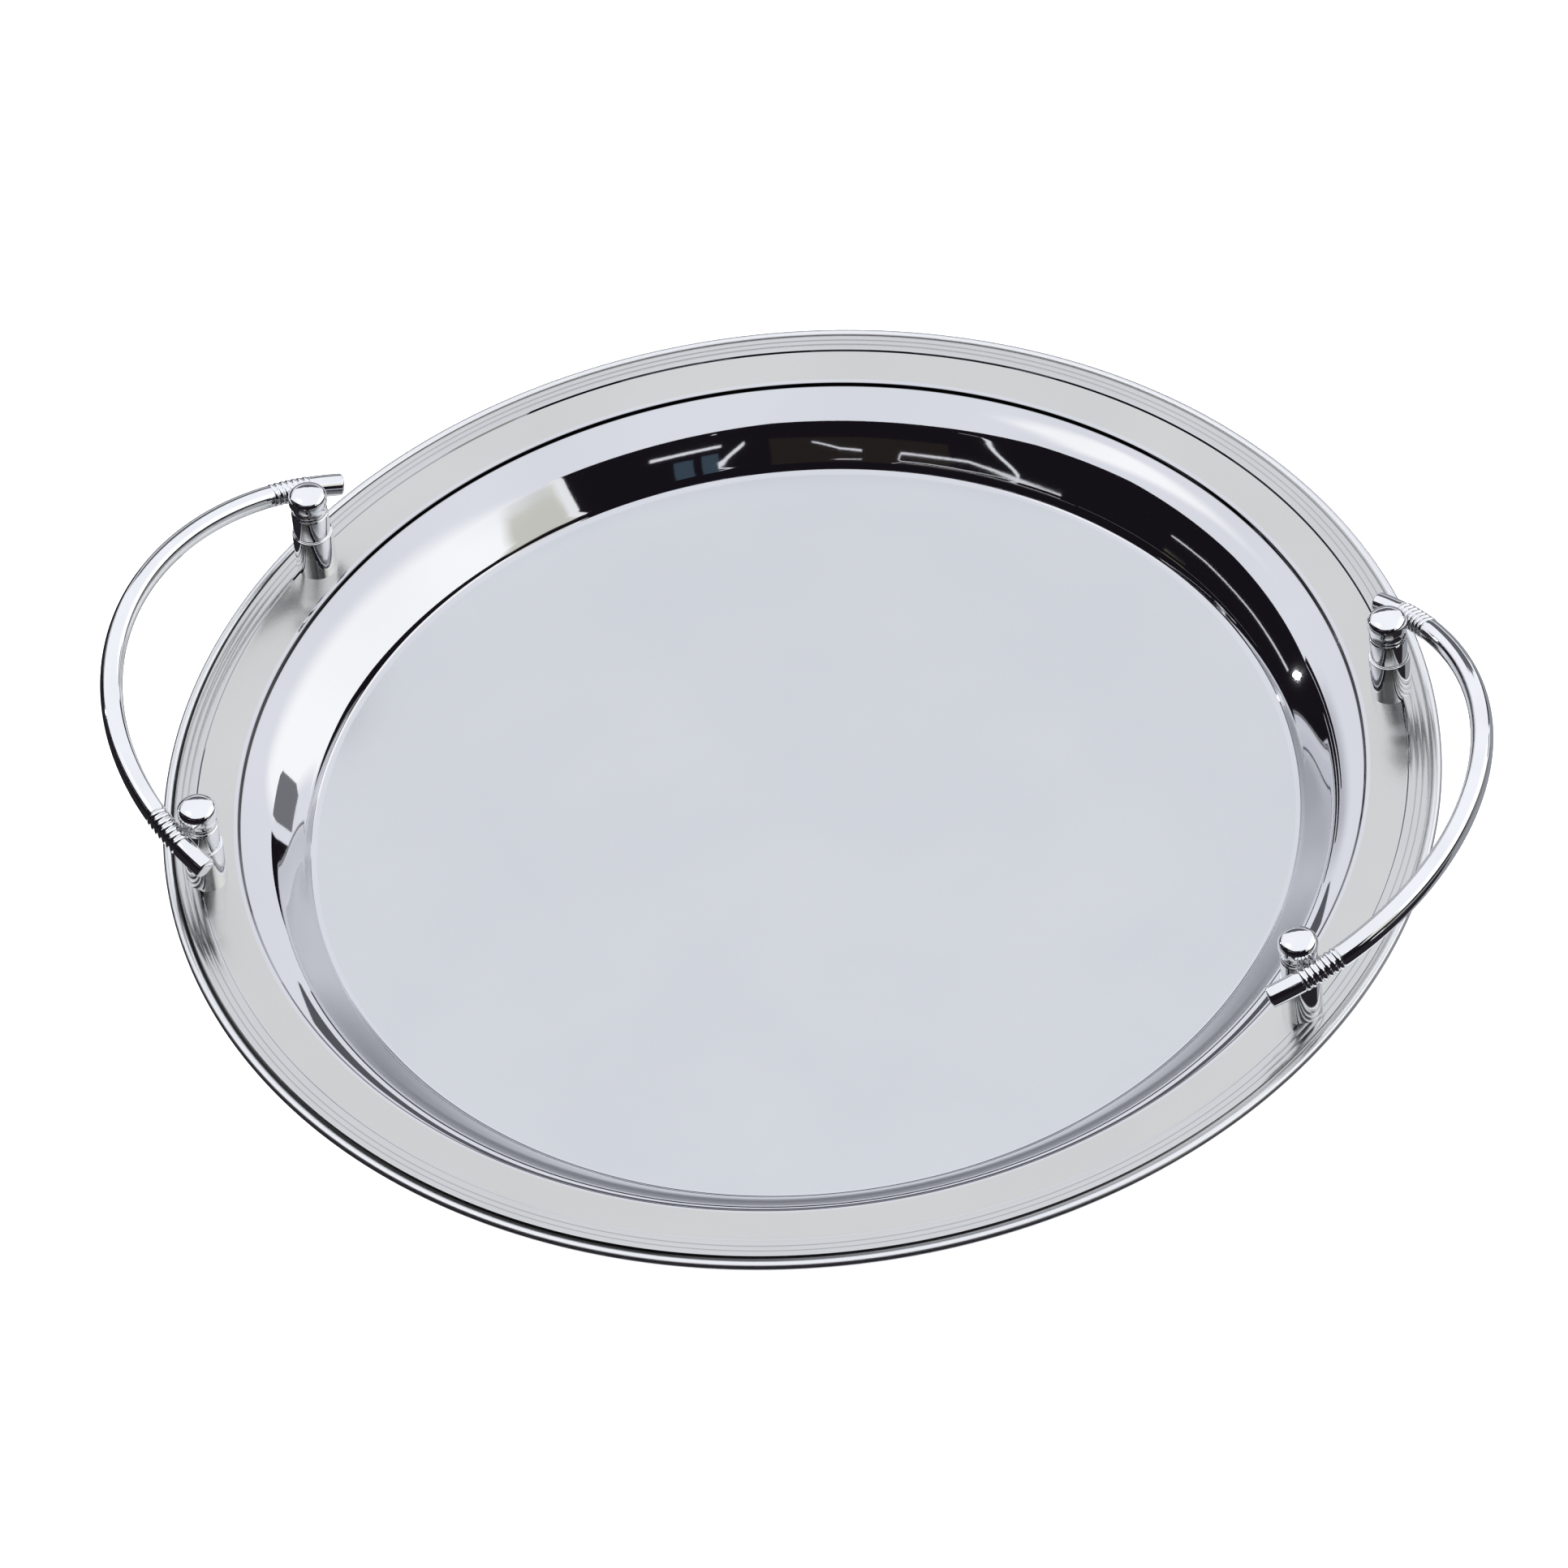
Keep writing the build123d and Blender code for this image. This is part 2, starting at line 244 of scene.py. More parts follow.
# ---------------------------------------------------------------- tray body
def rim_beads():
    """The moulding's three shallow beads, which meet in its two grooves."""
    points = []
    stations = (moulding_inner,) + GROOVES + (MOULDING_OUTER,)
    for inner, outer in zip(stations, stations[1:]):
        half = (outer - inner) / 2
        radius = 2 * half * BEAD_ROUNDNESS
        middle = ((inner + outer) / 2, moulding_z - sqrt(radius ** 2 - half ** 2))
        swing = degrees(asin(half / radius))
        points += arc(middle, radius, 90 + swing, 90 - swing, 10)
    return points


def foot_curve():
    """From the floor's edge up through the steepest part of the wall."""
    wall_foot = SHEET + FOOT_RADIUS * (1 - cos(radians(STEEPEST)))
    radius = wall_end[0] - (wall_end[1] - STEEP_TO) / tan(wall)
    rise = (STEEP_TO - wall_foot) / STEEP_STEPS
    steep = [(radius, STEEP_TO)]
    for i in range(STEEP_STEPS):
        slope = WALL_ANGLE + (STEEPEST - WALL_ANGLE) * (i + 0.5) / STEEP_STEPS
        radius -= rise / tan(radians(slope))
        steep.append((radius, STEEP_TO - rise * (i + 1)))
    centre = (radius - FOOT_RADIUS * sin(radians(STEEPEST)), SHEET + FOOT_RADIUS)
    return arc(centre, FOOT_RADIUS, -90, -90 + STEEPEST, 16)[:-1] + steep[::-1]


def upper_section():
    """Top surface of the tray, from its axis out to the rolled edge."""
    points = [(0.0, SHEET)] + [(r, SHEET) for r in FLOOR_RINGS + (FLOOR_RIM_RING,)]
    points += foot_curve()
    shoulder = arc(shoulder_centre, shoulder_radius, 90 + WALL_ANGLE - WALL_EASE,
                   90 + SHOULDER_ANGLE + SHOULDER_TRIM, 28)
    steep_top = points[-1]
    for i in range(1, WALL_STEPS):
        t = i / WALL_STEPS
        bow = WALL_BOW * sin(pi * t)
        points.append((steep_top[0] + (shoulder[0][0] - steep_top[0]) * t - bow * sin(wall),
                       steep_top[1] + (shoulder[0][1] - steep_top[1]) * t + bow * cos(wall)))
    points += shoulder
    step_foot = (SHOULDER_END - STEP_FOOT_INSET, shoulder_top - STEP_GROOVE)
    points += softened([shoulder[-1] + (0,), step_foot + (STEP_FOOT_ROUND,), lip_start + (0,)], 3)[1:-1]
    points += softened([step_foot + (0,), lip_start + (STEP_TOP_ROUND,),
                        (lip_start[0] + LIP_STEEP_RUN, band_inner[1], 0)], 4)[1:-1]
    lip = bezier((lip_start, (lip_start[0] + LIP_STEEP_RUN, band_inner[1]), band_inner), 16)
    points += lip[2:-1]
    points += softened([lip[-2] + (0,), band_inner + (LIP_TOP_ROUND,), (BAND_OUTER, band_z, 0)], 4)[1:-1]
    points += [(r, band_inner[1] + BAND_RISE * (r - band_inner[0]) / (BAND_OUTER - band_inner[0]))
               for r in BAND_RINGS]
    points += softened([(BAND_RINGS[-1], band_z, 0), (BAND_OUTER, band_z, MOULDING_FOOT_ROUND),
                        (moulding_inner, moulding_z, 0)], 3)[1:-1]
    points += rim_beads()
    riser_end = (edge_centre[0] + EDGE_BEAD * cos(radians(RISER_MEETS)),
                 edge_centre[1] + EDGE_BEAD * sin(radians(RISER_MEETS)))
    points += softened([(MOULDING_OUTER - 2 * RISER_TOP_ROUND, moulding_z, 0),
                        (MOULDING_OUTER, moulding_z, RISER_TOP_ROUND), riser_end + (0,)], 3)[2:-1]
    points += [(MOULDING_OUTER + (riser_end[0] - MOULDING_OUTER) * i / 4,
                moulding_z + (riser_end[1] - moulding_z) * i / 4) for i in range(1, 5)]
    return points


def lower_section():
    """Underside of the tray, from its axis out to the rolled edge."""
    outer_foot = FOOT_RADIUS + SHEET
    inner_shoulder = shoulder_radius - SHEET
    riser_inside = MOULDING_OUTER - SHEET
    foot_centre = (FLOOR_RADIUS, SHEET + FOOT_RADIUS)
    points = [(r, 0.0) for r in (0,) + FLOOR_RINGS]
    points += arc(foot_centre, outer_foot, -90, -90 + WALL_ANGLE, 14)
    points += arc(shoulder_centre, inner_shoulder, 90 + WALL_ANGLE, 90 + SHOULDER_ANGLE, 24)
    end = points[-1]
    points += softened([end + (0,), (band_inner[0], band_inner[1] - SHEET, 1.0),
                        (BAND_OUTER + SHEET / 2, band_z - SHEET, 0.5),
                        (riser_inside - SHEET / 2, moulding_z - SHEET, 0.5),
                        (riser_inside, riser_foot - SHEET, 0.3),
                        (edge_centre[0] - EDGE_INSIDE, riser_foot - SHEET, 0)], 4)[1:]
    return points


upper = upper_section()
edge = arc(edge_centre, EDGE_BEAD, RISER_MEETS, EDGE_ENDS, 40)
lower = lower_section()
tray_outline = dedupe(upper + edge[:-1] + lower[::-1])
tray_shell = lathe("tray_shell", tray_outline, TRAY_COUNT)
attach(tray_shell, "root")
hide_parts("tray_body")


def rim_height(x, y):
    """Height of the rim's top surface under a point, in millimetres."""
    r = hypot(x, y)
    for (r0, z0), (r1, z1) in zip(upper, upper[1:]):
        if r0 <= r <= r1 and r1 > r0:
            return z0 + (z1 - z0) * (r - r0) / (r1 - r0)
    return band_z


# ---------------------------------------------------------------- posts
STUD_HOLE = 2.1
SLEEVE_RADIUS = 6.5
SLEEVE_HEIGHT = 15.3
COLLAR_RADIUS = 5.9
COLLAR_TOP = 24.0
COLLAR_GROOVE = 0.35
POST_BEAD_RADIUS = 5.85
POST_BEAD_TOP = 25.3
NECK_RADIUS = 5.3
NECK_WAIST = 0.25
NECK_TOP = 28.2
CAP_RADIUS = 6.25
CAP_EDGE = 1.9
CAP_HEIGHT = 5.4
DOME_PULL = 0.55           # how square the cap's dome is
EDGE_BREAK = 0.4
STUD_IN_CAP = 3.2
STUD_RADIUS = 2.0
SLEEVE_RINGS = (4.0, 9.0)  # heights of plain rings of points on the sleeve
POST_COUNT = 128           # steps round each post
COPE_BELOW = 1.0           # sleeve points lower than this over the band follow the rim
COPE_LAP = 0.02            # and sink this far into it

sleeve_top = band_z + SLEEVE_HEIGHT
cap_z = band_z + NECK_TOP


def three_point(p0, p1, p2, steps):
    """Points on the circle through three points."""
    ax, ay = p0
    bx, by = p1
    cx, cy = p2
    double_area = 2 * (ax * (by - cy) + bx * (cy - ay) + cx * (ay - by))
    a_square = ax * ax + ay * ay
    b_square = bx * bx + by * by
    c_square = cx * cx + cy * cy
    ux = (a_square * (by - cy) + b_square * (cy - ay) + c_square * (ay - by)) / double_area
    uy = (a_square * (cx - bx) + b_square * (ax - cx) + c_square * (bx - ax)) / double_area
    radius = hypot(ax - ux, ay - uy)
    start = atan2(ay - uy, ax - ux)
    stop = atan2(cy - uy, cx - ux)
    if stop - start > pi:
        stop -= 2 * pi
    if start - stop > pi:
        stop += 2 * pi
    return [(ux + radius * cos(start + (stop - start) * i / steps),
             uy + radius * sin(start + (stop - start) * i / steps)) for i in range(steps + 1)]


def coped(x, y, height):
    """The sleeve's lower end follows the rim."""
    return rim_height(x, y) - COPE_LAP if height < band_z + COPE_BELOW else height


sleeve_outline = dedupe(
    [(STUD_HOLE, band_z), (SLEEVE_RADIUS, band_z)]
    + [(SLEEVE_RADIUS, band_z + height) for height in SLEEVE_RINGS]
    + softened([(SLEEVE_RADIUS, band_z + SLEEVE_RINGS[-1], 0), (SLEEVE_RADIUS, sleeve_top, EDGE_BREAK),
                (COLLAR_RADIUS - 0.5, sleeve_top, 0)], 5)[1:-1]
    + [(COLLAR_RADIUS - 0.5, sleeve_top), (STUD_HOLE, sleeve_top), (STUD_HOLE, band_z)])

groove_floor = COLLAR_RADIUS - COLLAR_GROOVE
collar_outline = dedupe(
    [(STUD_HOLE, sleeve_top), (COLLAR_RADIUS - 0.3, sleeve_top)]
    + softened([(COLLAR_RADIUS - 0.3, sleeve_top, 0), (COLLAR_RADIUS, sleeve_top, 0.15),
                (COLLAR_RADIUS, band_z + COLLAR_TOP - COLLAR_GROOVE, 0.2),
                (groove_floor, band_z + COLLAR_TOP, 0)], 3)[1:]
    + three_point((groove_floor, band_z + COLLAR_TOP),
                  (POST_BEAD_RADIUS, band_z + (COLLAR_TOP + POST_BEAD_TOP) / 2),
                  (groove_floor, band_z + POST_BEAD_TOP), 12)[1:]
    + three_point((NECK_RADIUS, band_z + POST_BEAD_TOP),
                  (NECK_RADIUS - NECK_WAIST, band_z + (POST_BEAD_TOP + NECK_TOP) / 2),
                  (NECK_RADIUS, cap_z), 12)
    + [(STUD_HOLE, cap_z), (STUD_HOLE, sleeve_top)])

dome = bezier(((CAP_RADIUS, cap_z + CAP_EDGE),
               (CAP_RADIUS, cap_z + CAP_EDGE + (CAP_HEIGHT - CAP_EDGE) * DOME_PULL),
               (CAP_RADIUS * DOME_PULL, cap_z + CAP_HEIGHT),
               (0.0, cap_z + CAP_HEIGHT)), 40)
cap_outline = dedupe(
    [(0.0, cap_z + STUD_IN_CAP), (STUD_RADIUS, cap_z + STUD_IN_CAP), (STUD_RADIUS, cap_z)]
    + softened([(STUD_RADIUS, cap_z, 0), (CAP_RADIUS - EDGE_BREAK, cap_z, 0.12),
                (CAP_RADIUS, cap_z + EDGE_BREAK, 0.15), (CAP_RADIUS, cap_z + CAP_EDGE, 0)], 3)[1:-1]
    + dome[:-1] + [(0.0, cap_z + CAP_HEIGHT)])

for side, end, place in PLACES:
    low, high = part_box(f"post_sleeve_{place}")
    centre = ((low.x + high.x) / 2 / MM, (low.y + high.y) / 2 / MM)
    sleeve = lathe(f"sleeve_{place}", sleeve_outline, POST_COUNT, centre, drop=coped)
    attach(sleeve, "root")
    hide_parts(f"post_sleeve_{place}")
    collar = lathe(f"collar_{place}", collar_outline, POST_COUNT, centre)
    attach(collar, "root")
    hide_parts(f"post_collar_{place}")
    cap = lathe(f"cap_{place}", cap_outline, POST_COUNT, centre)
    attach(cap, "root")
    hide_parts(f"domed_cap_{place}")


# ---------------------------------------------------------------- handles
BAR_RADIUS = 3.6
ARCH_CENTRE = 125.0
ARCH_RADIUS = 95.4
ARCH_TILT = 17.4
TOUCH_ANGLE = 52.7
TOUCH_HEIGHT = 25.1
FERRULE_START = 47.0
FERRULE_END = 55.2
TENON_END = 58.4
TIP_END = 61.9
TENON_RADIUS = 2.2
FERRULE_RADIUS = 3.8
RING_COUNT = 7
RING_GROOVE = 0.45
TIP_RADIUS = 3.55
TIP_ROUNDING = 0.8
TIP_FLAT = 1.2
BAR_CHAMFER = 0.25
BAR_STEPS = 260            # steps along a bar
RING_GAP = 0.1             # flat left between two rings of a ferrule
tilt = radians(ARCH_TILT)
arch_z = band_z + TOUCH_HEIGHT - ARCH_RADIUS * cos(radians(TOUCH_ANGLE)) * sin(tilt)


def bent(name, side, end, outline, count=96):
    """Piece turned about a handle's bent axis. outline is [(radius, distance along the arc)]."""
    centre = Vector((side * ARCH_CENTRE, 0, arch_z))
    x_axis = Vector((side * cos(tilt), 0, sin(tilt)))
    z_axis = Vector((-side * sin(tilt), 0, cos(tilt)))
    y_axis = z_axis.cross(x_axis)

    def place_point(radius, along, k):
        turn = side * end * along / ARCH_RADIUS
        outward = x_axis * cos(turn) + y_axis * sin(turn)
        round_bar = 2 * pi * k / count
        p = centre + outward * (ARCH_RADIUS + radius * cos(round_bar)) + z_axis * (radius * sin(round_bar))
        return tuple(p)
    return make_piece(name, *spin(outline, count, place_point))


def along_arc(angle):
    """Distance along a handle's axis from its middle to an angle in degrees."""
    return ARCH_RADIUS * radians(angle)


def run(radius, start, stop, steps):
    """Evenly spaced section points of one radius."""
    return [(radius, start + (stop - start) * i / steps) for i in range(steps + 1)]


bar_end = along_arc(FERRULE_START)
ferrule_end = along_arc(FERRULE_END)
tenon_end = along_arc(TENON_END)
tip_end = along_arc(TIP_END)

bar_outline = dedupe(
    [(0.0, -tenon_end)] + run(TENON_RADIUS, -tenon_end, -bar_end, 12)
    + softened([(TENON_RADIUS, -bar_end, 0), (BAR_RADIUS, -bar_end, BAR_CHAMFER),
                (BAR_RADIUS, -bar_end + 2, 0)], 4)[1:-1]
    + run(BAR_RADIUS, -bar_end + 2, bar_end - 2, BAR_STEPS)
    + softened([(BAR_RADIUS, bar_end - 2, 0), (BAR_RADIUS, bar_end, BAR_CHAMFER),
                (TENON_RADIUS, bar_end, 0)], 4)[1:-1]
    + run(TENON_RADIUS, bar_end, tenon_end, 12) + [(0.0, tenon_end)])

ring_pitch = (ferrule_end - bar_end) / RING_COUNT
ring_half = (ring_pitch - RING_GAP) / 2
core_radius = FERRULE_RADIUS - RING_GROOVE
ferrule_outline = [(TENON_RADIUS, bar_end), (core_radius, bar_end)]
for ring in range(RING_COUNT):
    middle = bar_end + (ring + 0.5) * ring_pitch
    ferrule_outline += [(max(r, core_radius), a) for a, r in three_point(
        (middle - ring_half, core_radius - RING_GROOVE), (middle, FERRULE_RADIUS),
        (middle + ring_half, core_radius - RING_GROOVE), 18)]
ferrule_outline += [(core_radius, ferrule_end)] + run(TENON_RADIUS, ferrule_end, bar_end, 16)
ferrule_outline = dedupe(ferrule_outline)
ferrule_outline[-1] = ferrule_outline[0]

tip_outline = dedupe(
    [(0.0, tenon_end)] + run(TENON_RADIUS, tenon_end, ferrule_end, 6)
    + softened([(TENON_RADIUS, ferrule_end, 0), (TIP_RADIUS, ferrule_end, 0.2),
                (TIP_RADIUS, ferrule_end + 1.5, 0)], 4)[1:-1]
    + run(TIP_RADIUS, ferrule_end + 1.5, tip_end - TIP_ROUNDING, 16)
    + arc((TIP_RADIUS - TIP_ROUNDING, tip_end - TIP_ROUNDING), TIP_ROUNDING, 0, 90, 9)[1:]
    + [(TIP_FLAT, tip_end), (0.0, tip_end)])

for side, side_name in SIDES:
    bar = bent(f"bar_{side_name}", side, 1, bar_outline)
    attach(bar, "root")
    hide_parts(f"handle_bar_{side_name}")
for side, end, place in PLACES:
    ferrule = bent(f"ferrule_{place}", side, end, ferrule_outline)
    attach(ferrule, "root")
    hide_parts(f"ribbed_ferrule_{place}")
    tip = bent(f"tip_{place}", side, end, tip_outline)
    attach(tip, "root")
    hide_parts(f"handle_tip_{place}")


# ---------------------------------------------------------------- materials
WHITE = (1.0, 1.0, 1.0, 1)


def node_graph(name):
    """A new material with its node tree and its main shader."""
    material = bpy.data.materials.new(name)
    material.use_nodes = True
    tree = material.node_tree
    shader = tree.nodes["Principled BSDF"]
    return material, tree, shader


def add_node(tree, kind, **values):
    """A new node. A value named in_X sets the input called X or numbered X; others set properties."""
    node = tree.nodes.new(kind)
    for key, value in values.items():
        if key.startswith("in_"):
            socket = key[3:]
            node.inputs[int(socket) if socket.isdigit() else socket].default_value = value
        else:
            setattr(node, key, value)
    return node


def ramp(tree, source, stops):
    """Colour ramp over a value. stops is [(position, grey or colour)]."""
    node = tree.nodes.new("ShaderNodeValToRGB")
    elements = node.color_ramp.elements
    while len(elements) < len(stops):
        elements.new(0.5)
    for element, (position, value) in zip(elements, stops):
        element.position = position
        element.color = value if isinstance(value, tuple) else (value, value, value, 1)
    tree.links.new(source, node.inputs["Fac"])
    return node.outputs["Color"]


def math_node(tree, operation, *values):
    """Result of a sum on values or node outputs."""
    node = add_node(tree, "ShaderNodeMath", operation=operation)
    for number, value in enumerate(values):
        if isinstance(value, (int, float)):
            node.inputs[number].default_value = value
        else:
            tree.links.new(value, node.inputs[number])
    return node.outputs["Value"]


CLEAR_STEEL = (0.90, 0.905, 0.915, 1)
CLOUDED_STEEL = (0.855, 0.85975, 0.873825, 1)
SMOOTHEST = 0.03           # roughness of the posts and handles
ROUGHEST = 0.08
BUMP_DEPTH = 0.0002        # metres


def mirror_steel(name):
    """Polished steel: fine scratches and faint clouding in the polish."""
    material, tree, shader = node_graph(name)
    links = tree.links
    where = tree.nodes.new("ShaderNodeTexCoord").outputs["Object"]
    cloud = add_node(tree, "ShaderNodeTexNoise", in_Scale=55.0, in_Detail=3.0)
    links.new(where, cloud.inputs["Vector"])
    scratch = add_node(tree, "ShaderNodeTexNoise", in_Scale=900.0, in_Detail=6.0, in_Roughness=0.65)
    links.new(where, scratch.inputs["Vector"])
    colour = ramp(tree, cloud.outputs["Fac"], [(0.35, CLOUDED_STEEL), (0.65, CLEAR_STEEL)])
    links.new(colour, shader.inputs["Base Color"])
    shader.inputs["Metallic"].default_value = 1.0
    spread = add_node(tree, "ShaderNodeMapRange", in_3=SMOOTHEST, in_4=ROUGHEST)
    links.new(cloud.outputs["Fac"], spread.inputs["Value"])
    links.new(spread.outputs["Result"], shader.inputs["Roughness"])
    bump = add_node(tree, "ShaderNodeBump", in_Strength=0.02, in_Distance=BUMP_DEPTH)
    links.new(scratch.outputs["Fac"], bump.inputs["Height"])
    links.new(bump.outputs["Normal"], shader.inputs["Normal"])
    return material


# the tray's finish, set out by the distance from its axis in millimetres
FINISH_FROM = 150.0
FINISH_TO = 200.0
FLOOR_EDGE = 153.7
BAND_FROM = 177.7
BAND_TO = 189.25
MOULDING_FROM = 190.0
TROUGH_FROM = 196.35
TROUGH_TO = 197.1
TOP_SURFACE = 0.0011       # the satin floor is above this height, metres

# colours over the clouding in the polish, as ramps
MIRROR = ((0.35, (0.68, 0.686, 0.712, 1)), (0.65, (0.71, 0.715, 0.74, 1)))
SATIN_FLOOR = ((0.3, (0.68, 0.692, 0.71, 1)), (0.7, (0.705, 0.717, 0.732, 1)))
SATIN_BAND = ((0.3, (0.635, 0.635, 0.612, 1)), (0.7, (0.665, 0.664, 0.638, 1)))
MOULDING = ((0.35, (0.62, 0.622, 0.62, 1)), (0.65, (0.65, 0.652, 0.65, 1)))
ROLLED_EDGE = (0.86, 0.862, 0.87, 1)

# roughness of each zone
MIRROR_ROUGH = 0.03
FLOOR_ROUGH = 0.30
BAND_ROUGH = 0.20
MOULDING_ROUGH = 0.19
EDGE_ROUGH = 0.30

# painted shade in narrow rings along the steps, grooves and trough: (from, to, share of the light they keep)
STEP_RINGS = ((175.65, 176.5, 0.12), (189.45, 189.8, 0.3))
GROOVE_RINGS = ((192.15, 192.45, 0.6), (194.05, 194.35, 0.6))
TROUGH_RINGS = ((TROUGH_FROM, TROUGH_TO, 0.06),)
# and where the painted shade goes from none to its darkest, heavier to one side: (rings, axis, unshaded at,
# darkest at) in metres
PAINTED_SHADE_RINGS = ((STEP_RINGS, "Y", -0.14, -0.05), (GROOVE_RINGS, "X", 0.4, 0.2), (TROUGH_RINGS, "X", 0.16, 0.0))

MIX_SOCKETS = {"RGBA": (6, 7, 2), "FLOAT": (2, 3, 0)}


def zone(mm):
    """Place of a radius on a ramp over the wall and the rim."""
    return (mm - FINISH_FROM) / (FINISH_TO - FINISH_FROM)


def mixed(tree, factor, a, b, kind="RGBA"):
    """Blend of two values or node outputs."""
    node = add_node(tree, "ShaderNodeMix", data_type=kind)
    first, second, result = MIX_SOCKETS[kind]
    tree.links.new(factor, node.inputs[0])
    for number, value in ((first, a), (second, b)):
        if isinstance(value, (int, float, tuple)):
            node.inputs[number].default_value = value
        else:
            tree.links.new(value, node.inputs[number])
    return node.outputs[result]


def shaded(tree, colour, shade):
    """One colour multiplied by another."""
    node = add_node(tree, "ShaderNodeMix", data_type="RGBA", blend_type="MULTIPLY", in_0=1.0)
    first, second, result = MIX_SOCKETS["RGBA"]
    tree.links.new(colour, node.inputs[first])
    tree.links.new(shade, node.inputs[second])
    return node.outputs[result]


def painted_ring_shade(tree, at, along, rings, unshaded_at, darkest_at):
    """Painted shade in narrow rings: how much light they keep. It is darkest at the far end of its range
    along the given axis.
    """
    stops = []
    for start, stop, kept in rings:
        stops += [(zone(start - 0.1), 1.0), (zone(start + 0.1), kept),
                  (zone(stop - 0.1), kept), (zone(stop + 0.1), 1.0)]
    amount = add_node(tree, "ShaderNodeMapRange", in_1=unshaded_at, in_2=darkest_at)
    tree.links.new(along, amount.inputs["Value"])
    return mixed(tree, amount.outputs["Result"], WHITE, ramp(tree, at, stops))


def tray_steel():
    """Polished steel with a satin floor and a satin band round the rim, set out by radius."""
    material, tree, shader = node_graph("tray_steel")
    links = tree.links
    where = tree.nodes.new("ShaderNodeTexCoord").outputs["Object"]
    split = tree.nodes.new("ShaderNodeSeparateXYZ")
    links.new(where, split.inputs["Vector"])
    x, y, z = split.outputs
    square = math_node(tree, "ADD", math_node(tree, "MULTIPLY", x, x), math_node(tree, "MULTIPLY", y, y))
    reach = add_node(tree, "ShaderNodeMapRange", in_1=FINISH_FROM * MM, in_2=FINISH_TO * MM)
    links.new(math_node(tree, "SQRT", square), reach.inputs["Value"])
    at = reach.outputs["Result"]

    floor_mask = ramp(tree, at, [(zone(FLOOR_EDGE - 0.3), 1.0), (zone(FLOOR_EDGE + 0.3), 0.0)])
    floor_mask = math_node(tree, "MULTIPLY", floor_mask, math_node(tree, "GREATER_THAN", z, TOP_SURFACE))
    band_mask = ramp(tree, at, [(zone(BAND_FROM - 0.2), 0.0), (zone(BAND_FROM + 0.2), 1.0),
                                (zone(BAND_TO - 0.1), 1.0), (zone(BAND_TO + 0.1), 0.0)])
    moulding_mask = ramp(tree, at, [(zone(MOULDING_FROM - 0.05), 0.0), (zone(MOULDING_FROM + 0.1), 1.0)])
    edge_mask = ramp(tree, at, [(zone(TROUGH_TO - 0.05), 0.0), (zone(TROUGH_TO + 0.15), 1.0)])

    fine = add_node(tree, "ShaderNodeTexNoise", in_Scale=1400.0, in_Detail=4.0, in_Roughness=0.6)
    cloud = add_node(tree, "ShaderNodeTexNoise", in_Scale=16.0, in_Detail=2.0)
    for noise in (fine, cloud):
        links.new(where, noise.inputs["Vector"])
    mirror, satin_floor, satin_band, moulding = (
        ramp(tree, cloud.outputs["Fac"], stops) for stops in (MIRROR, SATIN_FLOOR, SATIN_BAND, MOULDING))
    colour = mixed(tree, band_mask, mixed(tree, floor_mask, mirror, satin_floor), satin_band)
    colour = mixed(tree, moulding_mask, colour, moulding)
    colour = mixed(tree, edge_mask, colour, ROLLED_EDGE)
    # painted shade darkens the steps, grooves and trough, more towards one side of the tray
    for rings, axis, unshaded_at, darkest_at in PAINTED_SHADE_RINGS:
        shade = painted_ring_shade(tree, at, split.outputs[axis], rings, unshaded_at, darkest_at)
        colour = shaded(tree, colour, shade)
    links.new(colour, shader.inputs["Base Color"])
    shader.inputs["Metallic"].default_value = 1.0

    rough = mixed(tree, floor_mask, MIRROR_ROUGH, FLOOR_ROUGH, "FLOAT")
    for mask, amount in ((band_mask, BAND_ROUGH), (moulding_mask, MOULDING_ROUGH), (edge_mask, EDGE_ROUGH)):
        rough = mixed(tree, mask, rough, amount, "FLOAT")
    wander = add_node(tree, "ShaderNodeMapRange", in_3=0.85, in_4=1.15)
    links.new(fine.outputs["Fac"], wander.inputs["Value"])
    links.new(math_node(tree, "MULTIPLY", rough, wander.outputs["Result"]), shader.inputs["Roughness"])

    satin = math_node(tree, "MAXIMUM", floor_mask, band_mask)
    depth = math_node(tree, "ADD", math_node(tree, "MULTIPLY", satin, 0.06), 0.004)
    bump = add_node(tree, "ShaderNodeBump", in_Distance=BUMP_DEPTH)
    links.new(depth, bump.inputs["Strength"])
    links.new(fine.outputs["Fac"], bump.inputs["Height"])
    links.new(bump.outputs["Normal"], shader.inputs["Normal"])
    return material


def fastener_steel():
    """Plain turned steel for the studs, washers, nuts and dowels."""
    material, tree, shader = node_graph("fastener_steel_turned")
    links = tree.links
    where = tree.nodes.new("ShaderNodeTexCoord").outputs["Object"]
    grain = add_node(tree, "ShaderNodeTexNoise", in_Scale=700.0, in_Detail=5.0)
    links.new(where, grain.inputs["Vector"])
    colour = ramp(tree, grain.outputs["Fac"], [(0.3, (0.52, 0.53, 0.55, 1)), (0.7, (0.68, 0.69, 0.71, 1))])
    links.new(colour, shader.inputs["Base Color"])
    shader.inputs["Metallic"].default_value = 1.0
    spread = add_node(tree, "ShaderNodeMapRange", in_3=0.25, in_4=0.42)
    links.new(grain.outputs["Fac"], spread.inputs["Value"])
    links.new(spread.outputs["Result"], shader.inputs["Roughness"])
    bump = add_node(tree, "ShaderNodeBump", in_Strength=0.15, in_Distance=BUMP_DEPTH)
    links.new(grain.outputs["Fac"], bump.inputs["Height"])
    links.new(bump.outputs["Normal"], shader.inputs["Normal"])
    return material


tray_material = tray_steel()
handle_material = mirror_steel("handle_steel")
post_material = mirror_steel("post_steel")
hidden_material = fastener_steel()

